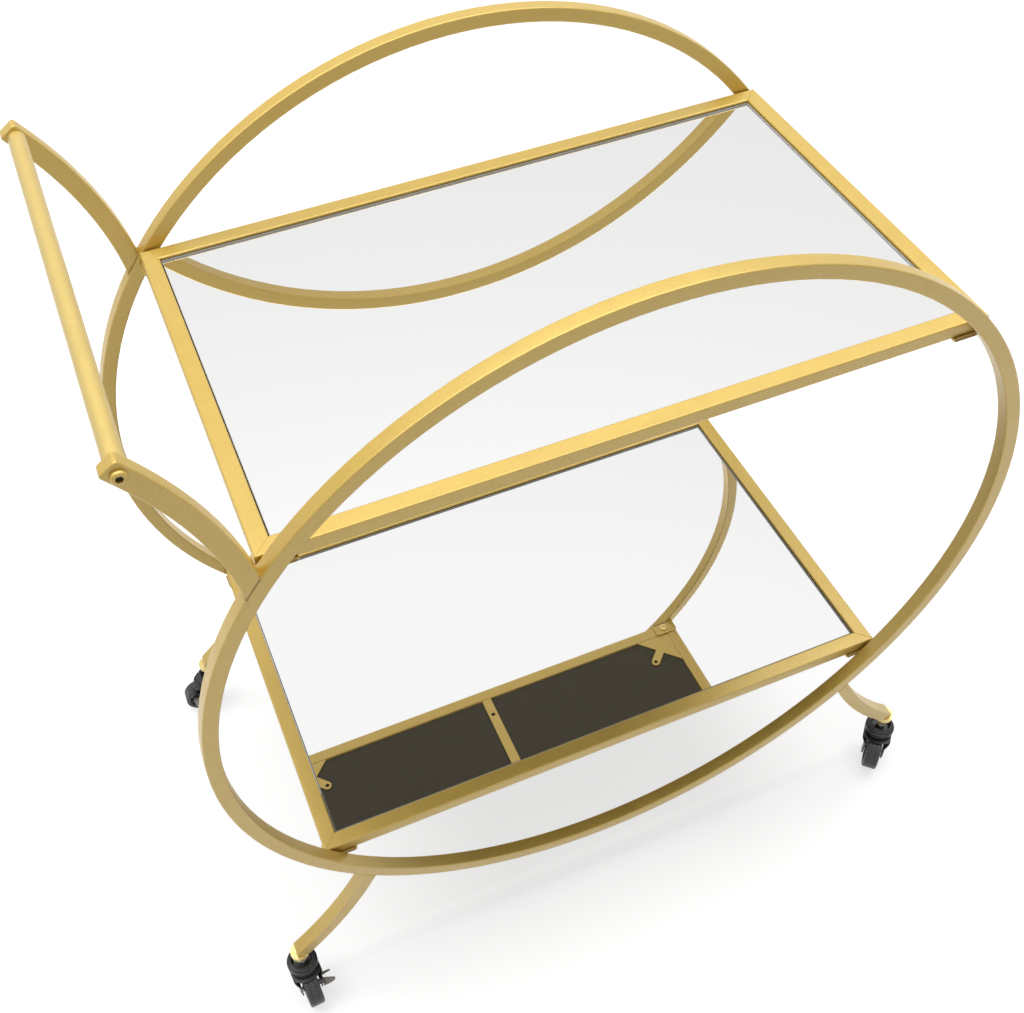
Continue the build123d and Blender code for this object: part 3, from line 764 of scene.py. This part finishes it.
def crossing(centre, radius, low_turn):
    """The angle round the rings at which a circle about another centre meets their outside."""
    away = hypot(centre[0], centre[1] - RING_HEIGHT)
    towards = atan2(centre[1] - RING_HEIGHT, centre[0])
    opening = acos((away ** 2 + RING_RADIUS ** 2 - radius ** 2) / (2 * away * RING_RADIUS))
    return towards + low_turn * opening


def bead(build, centres, outward, closed=True):
    """An uneven bead of weld along a path, closed onto itself or with blunt ends."""
    radius, uneven, sides = 1.0, 0.22, 8
    turns = [2 * pi * k / sides for k in range(sides)]
    rings = []
    count = len(centres)
    for i, centre in enumerate(centres):
        after = centres[(i + 1) % count] if closed or i < count - 1 else centre
        before = centres[i - 1] if closed or i > 0 else centre
        along = (after - before).normalized()
        sideway = along.cross(outward).normalized()
        size = radius * (1 + uneven * noise.noise(centre * 0.9))
        rings.append([centre + sideway * size * cos(t) + outward * size * sin(t) for t in turns])
    loft(build, rings, closed=closed)


def foot_bead(build, first, second, y_low, y_high):
    """A bead round a tube's foot on the outside of a ring, between two angles and two depths."""
    sunk, steps = 0.55, 9
    start, end = sorted((first, second))
    margin = sunk / RING_RADIUS
    start, end = start + margin, end - margin
    y_low, y_high = y_low + sunk, y_high - sunk
    corners = [(start, y_low), (end, y_low), (end, y_high), (start, y_high)]
    path = []
    for (a, y), (b, other) in zip(corners, corners[1:] + corners[:1]):
        path += [(a + (b - a) * i / steps, y + (other - y) * i / steps) for i in range(steps)]
    centres = [Vector((RING_RADIUS * cos(a), y, RING_HEIGHT + RING_RADIUS * sin(a))) for a, y in path]
    middle = sum(centres, Vector()) / len(centres)
    bead(build, centres, (middle - Vector((0, middle.y, RING_HEIGHT))).normalized())


def build_welds():
    leg_welds, arm_welds = bmesh.new(), bmesh.new()
    for side in SIDES.values():
        depth = (side * RING_MID_Y - TUBE / 2, side * RING_MID_Y + TUBE / 2)
        for across in HANDS.values():
            bend = (across * (FOOT_X + LEG_BEND * cos(radians(FOOT_LEAN))),
                    FOOT_Z + LEG_BEND * sin(radians(FOOT_LEAN)))
            turns = [crossing(bend, LEG_BEND + half, -across) for half in (-TUBE / 2, TUBE / 2)]
            foot_bead(leg_welds, *turns, *depth)
        arm_y = side * (FRAME_DEPTH - ARM_DEPTH) / 2
        turns = [crossing(arm_bend_centre(), ARM_BEND + half, -1) for half in (-ARM_WIDTH / 2, ARM_WIDTH / 2)]
        foot_bead(arm_welds, *turns, arm_y - ARM_DEPTH / 2, arm_y + ARM_DEPTH / 2)
    make_piece("leg_welds", leg_welds, GOLD)
    make_piece("arm_welds", arm_welds, WELD_METAL)


def build_tab_welds(level):
    """A bead along each tab where it meets the side of the ring, in the gap beside the shelf."""
    low, high = (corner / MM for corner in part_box(f"{level}_tabs"))
    build = bmesh.new()
    steps, margin, sunk = 14, 1.5, 0.45
    places = [high.x - margin - (TAB_LENGTH - 2 * margin) * i / steps for i in range(steps + 1)]
    for x in (-1, 1):
        for y in (-1, 1):
            for z in (low.z, high.z):
                centres = [Vector((x * place, y * (high.y - sunk), z)) for place in places]
                bead(build, centres, Vector((0, 0, 1)), closed=False)
    make_piece(f"{level}_tab_welds", build, WELD_METAL)


# Studio

def build_camera():
    """The photograph's own viewpoint and framing, for an image 1024 wide and 1013 high."""
    data = bpy.data.cameras.new("photo_camera")
    data.sensor_width = 36.0
    data.lens = 45.479
    data.shift_x = 0.05543
    data.shift_y = -0.06036
    data.clip_end = 50.0
    camera = bpy.data.objects.new("photo_camera", data)
    camera.location = (-0.3368, -0.7040, 1.3270)
    camera.rotation_euler = (radians(42.5575), radians(1.9419), radians(-21.9642))
    bpy.context.scene.collection.objects.link(camera)
    bpy.context.scene.camera = camera


def feed(tree, socket, value):
    """Sets a socket to a number or links an output to it."""
    if isinstance(value, float):
        socket.default_value = value
    else:
        tree.links.new(value, socket)


def calculate(tree, operation, first, second):
    """A Math node of two values, each a number or an output."""
    node = tree.nodes.new("ShaderNodeMath")
    node.operation = operation
    feed(tree, node.inputs[0], first)
    feed(tree, node.inputs[1], second)
    return node.outputs[0]


def seen_rays(tree):
    """The camera's own rays, and 1 for all rays that it sees or 0 for those that light a matt surface."""
    path = tree.nodes.new("ShaderNodeLightPath").outputs
    seen = path["Is Camera Ray"]
    for kind in ("Is Glossy Ray", "Is Transmission Ray"):
        seen = calculate(tree, "MAXIMUM", seen, path[kind])
    direct = calculate(tree, "LESS_THAN", path["Diffuse Depth"], 0.5)
    return path["Is Camera Ray"], calculate(tree, "MULTIPLY", seen, direct)


def build_world():
    """White to the eye, a little greyer low down in reflections, and dimmer as a light."""
    ambient, low, high = 0.24, 0.86, 1.05
    world = bpy.data.worlds.new("studio")
    bpy.context.scene.world = world
    world.use_nodes = True
    tree = world.node_tree
    camera_rays, seen = seen_rays(tree)
    coordinates = tree.nodes.new("ShaderNodeTexCoord")
    parts = tree.nodes.new("ShaderNodeSeparateXYZ")
    tree.links.new(coordinates.outputs["Generated"], parts.inputs[0])
    rise = calculate(tree, "POWER", spread(tree, parts.outputs["Z"], 0.0, 1.0, 0.5, 0.8), 1.6)
    reflected = spread(tree, rise, low, high, 0.0, 1.0)

    def choose(factor, otherwise, chosen):
        mix = tree.nodes.new("ShaderNodeMix")
        for socket, value in zip((mix.inputs[0], mix.inputs[2], mix.inputs[3]), (factor, otherwise, chosen)):
            feed(tree, socket, value)
        return mix.outputs[0]

    strength = choose(camera_rays, choose(seen, ambient, reflected), 1.0)
    background = tree.nodes["Background"]
    background.inputs["Color"].default_value = (1, 1, 1, 1)
    tree.links.new(strength, background.inputs["Strength"])


def build_floor():
    """A wide pale sheet that keeps the cart's soft shadow."""
    build = bmesh.new()
    bmesh.ops.create_grid(build, x_segments=8, y_segments=8, size=9.0)
    mesh = bpy.data.meshes.new("floor")
    build.to_mesh(mesh)
    build.free()
    floor = bpy.data.objects.new("floor", mesh)
    bpy.context.scene.collection.objects.link(floor)
    material = bpy.data.materials.new("pale_floor")
    material.use_nodes = True
    tree = material.node_tree
    tree.nodes.clear()
    output = tree.nodes.new("ShaderNodeOutputMaterial")
    total = tree.nodes.new("ShaderNodeAddShader")
    matt = tree.nodes.new("ShaderNodeBsdfDiffuse")
    matt.inputs["Color"].default_value = (*FLOOR_PALE, 1)
    glow = tree.nodes.new("ShaderNodeEmission")
    tree.links.new(calculate(tree, "MULTIPLY", seen_rays(tree)[1], FLOOR_GLOW), glow.inputs["Strength"])
    tree.links.new(matt.outputs[0], total.inputs[0])
    tree.links.new(glow.outputs[0], total.inputs[1])
    tree.links.new(total.outputs[0], output.inputs["Surface"])
    mesh.materials.append(material)


def build_lamp():
    """One long soft lamp overhead, facing straight down."""
    data = bpy.data.lights.new("overhead", "AREA")
    data.shape = "RECTANGLE"
    data.size, data.size_y = 4.8, 1.4
    data.energy = 84.0
    lamp = bpy.data.objects.new("overhead", data)
    lamp.location = (-0.25, 0.35, 3.0)
    bpy.context.scene.collection.objects.link(lamp)


def build_studio():
    build_camera()
    build_world()
    build_floor()
    build_lamp()
    bpy.context.scene.view_settings.view_transform = "Standard"


build_studio()
dress_frame()
for caster, (_, _, _, braked) in CASTERS.items():
    build_collar(caster)
    build_stem(caster)
    build_fork(caster)
    build_axle(caster)
    build_wheel(caster)
    if braked:
        build_lever(caster)
for shelf in ("upper", "lower"):
    build_mirror(shelf)
    build_gussets(shelf)
    build_shelf_bolts(shelf)
    build_tab_welds(shelf)
for hand, facing in SIDES.items():
    build_arm(hand, facing)
build_handle_bolts()
build_welds()
